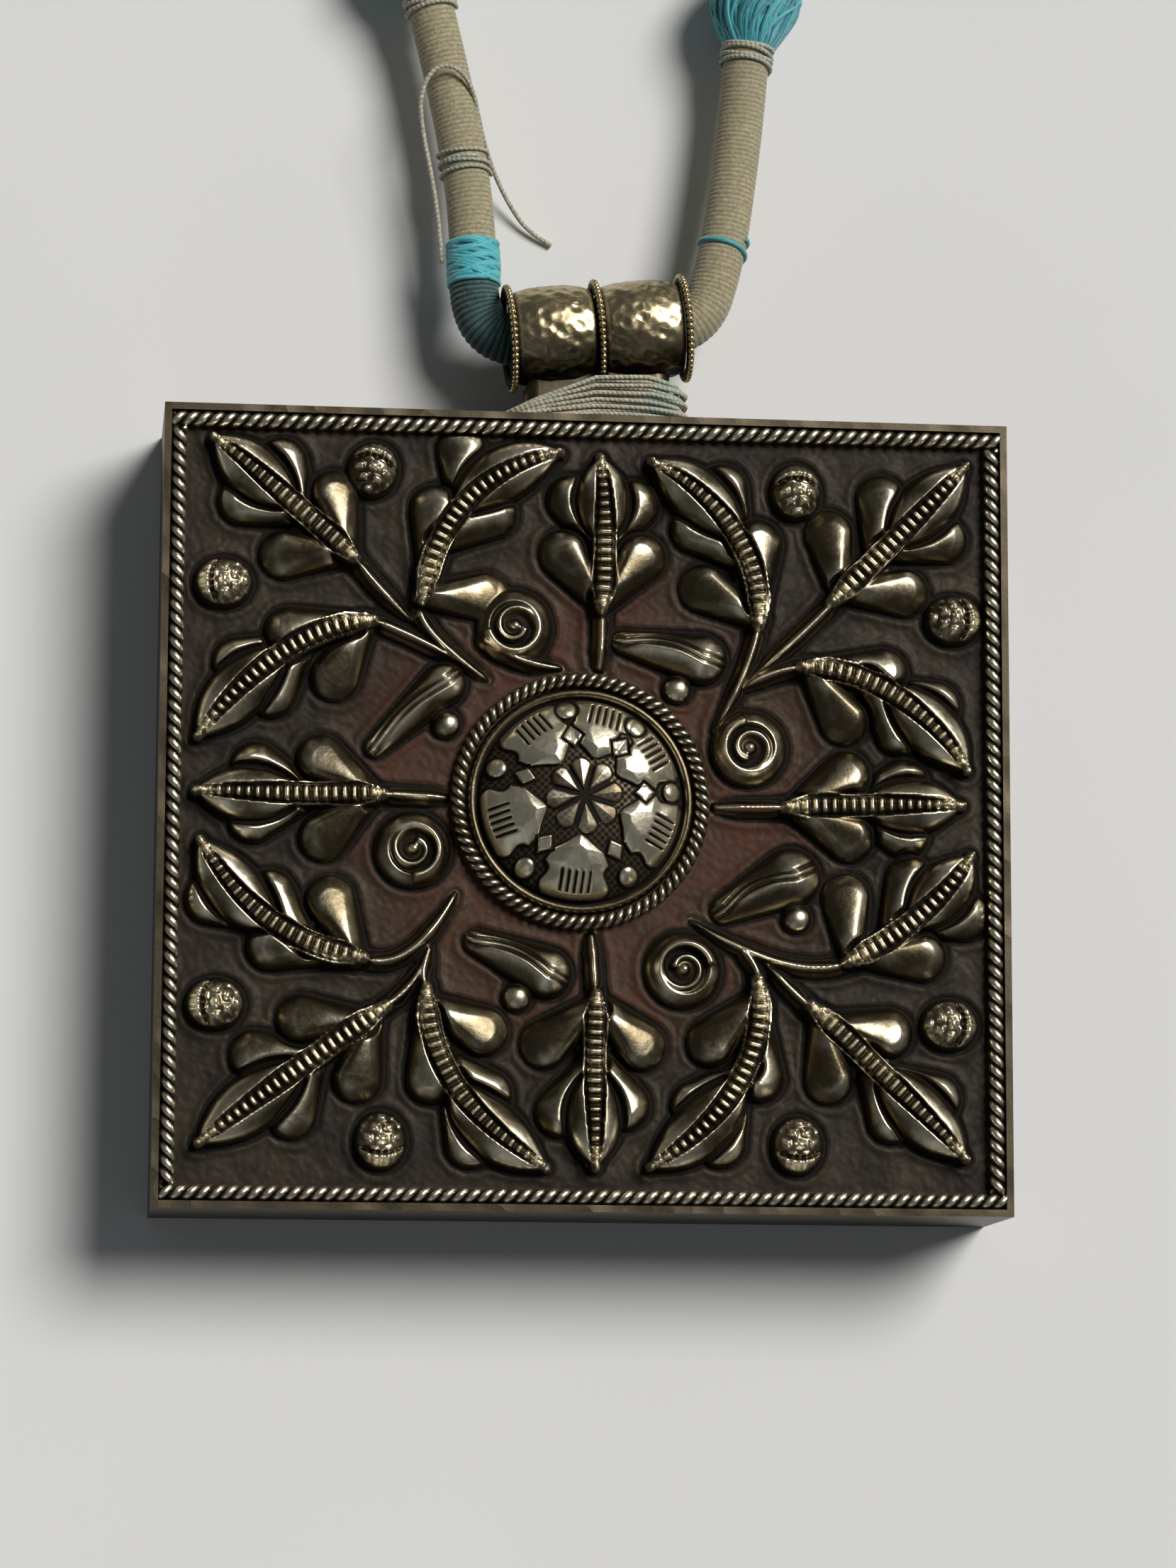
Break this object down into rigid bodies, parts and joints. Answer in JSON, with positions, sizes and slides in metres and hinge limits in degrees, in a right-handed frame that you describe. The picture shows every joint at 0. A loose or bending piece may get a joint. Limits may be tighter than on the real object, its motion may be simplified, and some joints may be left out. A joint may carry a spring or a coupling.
{
  "type": "ghau amulet box",
  "caption": "Square pendant prayer box with a chased foliage face and domed boss, a push-in back tray, a tube bail and a thread-wrapped neck cord.",
  "frame": {"origin": "centre of the back plate's outer face, on the surface that the box lies on", "axes": "+Z out of the chased face, +Y towards the bail, +X to the right of the face"},
  "size_m": [0.085, 0.2032, 0.0195],
  "materials": {
    "chased_metal": "chased, blackened in the hollows",
    "case_metal": "dull, tarnished",
    "wire_metal": "worn bright on the strands",
    "boss_metal": "chased, worn bright",
    "bail_metal": "hammered, half polished",
    "bead_metal": "beaded, worn bright",
    "back_metal": "plain, dull",
    "wrapped_cord": "wrapped thread",
    "dark_whipping": "whipped thread",
    "turquoise_floss": "loose floss",
    "sage_thread": "fine thread",
    "tie_cloth": "flat tape",
    "prayer_paper": "aged, folded",
    "prayer_ribbon": "woven ribbon"
  },
  "bodies": {
    "back_cover": {"back_plate": "back_metal", "tray_band": "back_metal", "prayer_packet": "prayer_paper", "packet_ribbon": "prayer_ribbon"},
    "front_case": {"front_panel": "chased_metal", "side_band": "case_metal", "border_wire_top": "wire_metal", "border_wire_right": "wire_metal", "border_wire_bottom": "wire_metal", "border_wire_left": "wire_metal", "boss_ring_wire": "wire_metal", "rosette_boss": "boss_metal", "bail_barrel_left": "bail_metal", "bail_barrel_right": "bail_metal", "bail_tongue": "bail_metal", "bail_ring_left": "bead_metal", "bail_ring_middle": "bead_metal", "bail_ring_right": "bead_metal", "cord_in_bail": "wrapped_cord", "left_cord": "wrapped_cord", "right_cord": "wrapped_cord", "cord_coil": "wrapped_cord", "left_whipping": "dark_whipping", "left_floss_band": "turquoise_floss", "left_tuft": "turquoise_floss", "right_tuft": "turquoise_floss", "right_floss_turn": "turquoise_floss", "neck_binding": "sage_thread", "left_tuft_binding": "sage_thread", "right_tuft_binding": "sage_thread", "stray_thread": "sage_thread", "thread_turns": "sage_thread", "coil_tie": "tie_cloth"}
  },
  "joints": [
    {"name": "case_lift", "type": "slide", "parent": "back_cover", "child": "front_case", "axis": [0, 0, 1], "range_m": [0, 0.03]}
  ]
}
